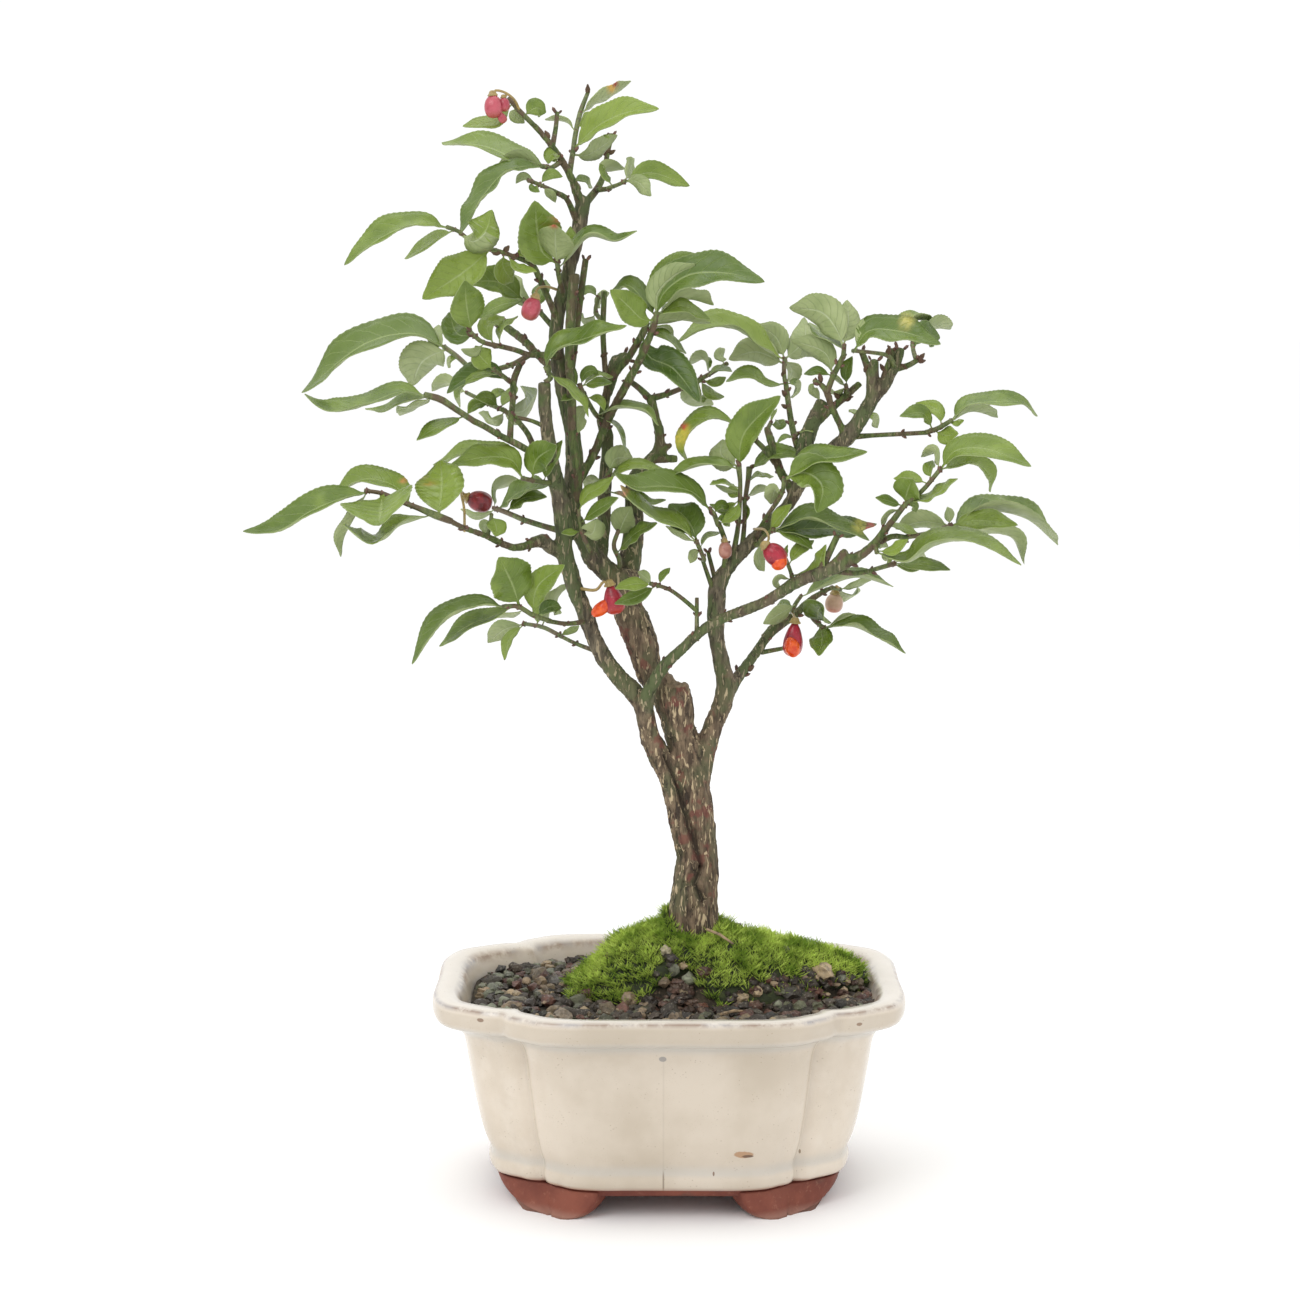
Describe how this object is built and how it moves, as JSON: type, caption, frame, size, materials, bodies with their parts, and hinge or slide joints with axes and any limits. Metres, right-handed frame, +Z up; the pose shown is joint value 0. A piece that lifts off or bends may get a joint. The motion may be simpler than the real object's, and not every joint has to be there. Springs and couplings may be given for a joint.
{
  "type": "bonsai tree in pot",
  "caption": "Small forked burning bush bonsai with lance-shaped leaves and red seed capsules, growing from a moss mound in a cream glazed four-lobed pot on scalloped clay feet.",
  "frame": {"origin": "middle of the bounding box on the ground under the pot feet", "axes": "+Z up along the tree, +X to the right along the long side of the pot, -Y to the front seen in the picture"},
  "size_m": [0.275, 0.1464, 0.3838],
  "materials": {
    "glazed_pot": "cream gloss glaze over brick-red clay, bare on the feet",
    "soil": "mixed volcanic grit, matte",
    "moss": "living moss, matte and deep",
    "bark": "rough grey-brown bark, greener on the young shoots",
    "leaf": "thin leaf, satin",
    "capsule": "ripe seed capsule, satin",
    "seed_coat": "fleshy orange seed coat, glossy",
    "drain_screen": "moulded mesh, matte"
  },
  "bodies": {
    "root": {"drain_screen_left": "drain_screen", "drain_screen_right": "drain_screen", "fruit_brown_capsule": "capsule", "fruit_dark_capsule": "capsule", "fruit_drop_capsule": "capsule", "fruit_drop_seed": "seed_coat", "fruit_open_capsule": "capsule", "fruit_open_seed": "seed_coat", "fruit_pale_berry": "capsule", "fruit_pear_capsule": "capsule", "fruit_pear_seed": "seed_coat", "fruit_pink_capsule": "capsule", "fruit_top_capsules": "capsule", "moss": "moss", "pot": "glazed_pot", "shoot_back_twig_leaves": "leaf", "shoot_centre_front_left": "leaf", "shoot_centre_front_twig": "leaf", "shoot_centre_sprig": "leaf", "shoot_centre_sprig_right": "leaf", "shoot_front_peg_tip": "leaf", "shoot_high_left_leaves": "leaf", "shoot_high_left_middle": "leaf", "shoot_inner_stub_leaves": "leaf", "shoot_inner_top_left": "leaf", "shoot_inner_top_right": "leaf", "shoot_leader_front": "leaf", "shoot_leader_upper_front": "leaf", "shoot_left_inner_back": "leaf", "shoot_left_inner_front": "leaf", "shoot_left_long_tip": "leaf", "shoot_left_low_back": "leaf", "shoot_left_low_front": "leaf", "shoot_left_middle_tip": "leaf", "shoot_middle_cluster": "leaf", "shoot_middle_high_left": "leaf", "shoot_middle_left_front": "leaf", "shoot_right_high_leaves": "leaf", "shoot_right_inner_leaves": "leaf", "shoot_right_inner_low": "leaf", "shoot_right_level_leaves": "leaf", "shoot_right_low_leaves": "leaf", "shoot_right_low_long": "leaf", "shoot_right_middle_leaves": "leaf", "shoot_right_top_back_leaves": "leaf", "shoot_right_top_leaves": "leaf", "shoot_right_under_twig": "leaf", "shoot_top_left_leaves": "leaf", "shoot_top_low_left_leaves": "leaf", "shoot_top_middle_high": "leaf", "shoot_top_middle_leaves": "leaf", "shoot_top_middle_low": "leaf", "shoot_top_right_leaves": "leaf", "shoot_top_tip_leaves": "leaf", "shoot_upper_left_back_tip": "leaf", "shoot_upper_left_front_tip": "leaf", "shoot_upper_left_low_back": "leaf", "shoot_upper_left_low_front": "leaf", "soil": "soil", "trunk_and_branches": "bark"}
  },
  "joints": []
}
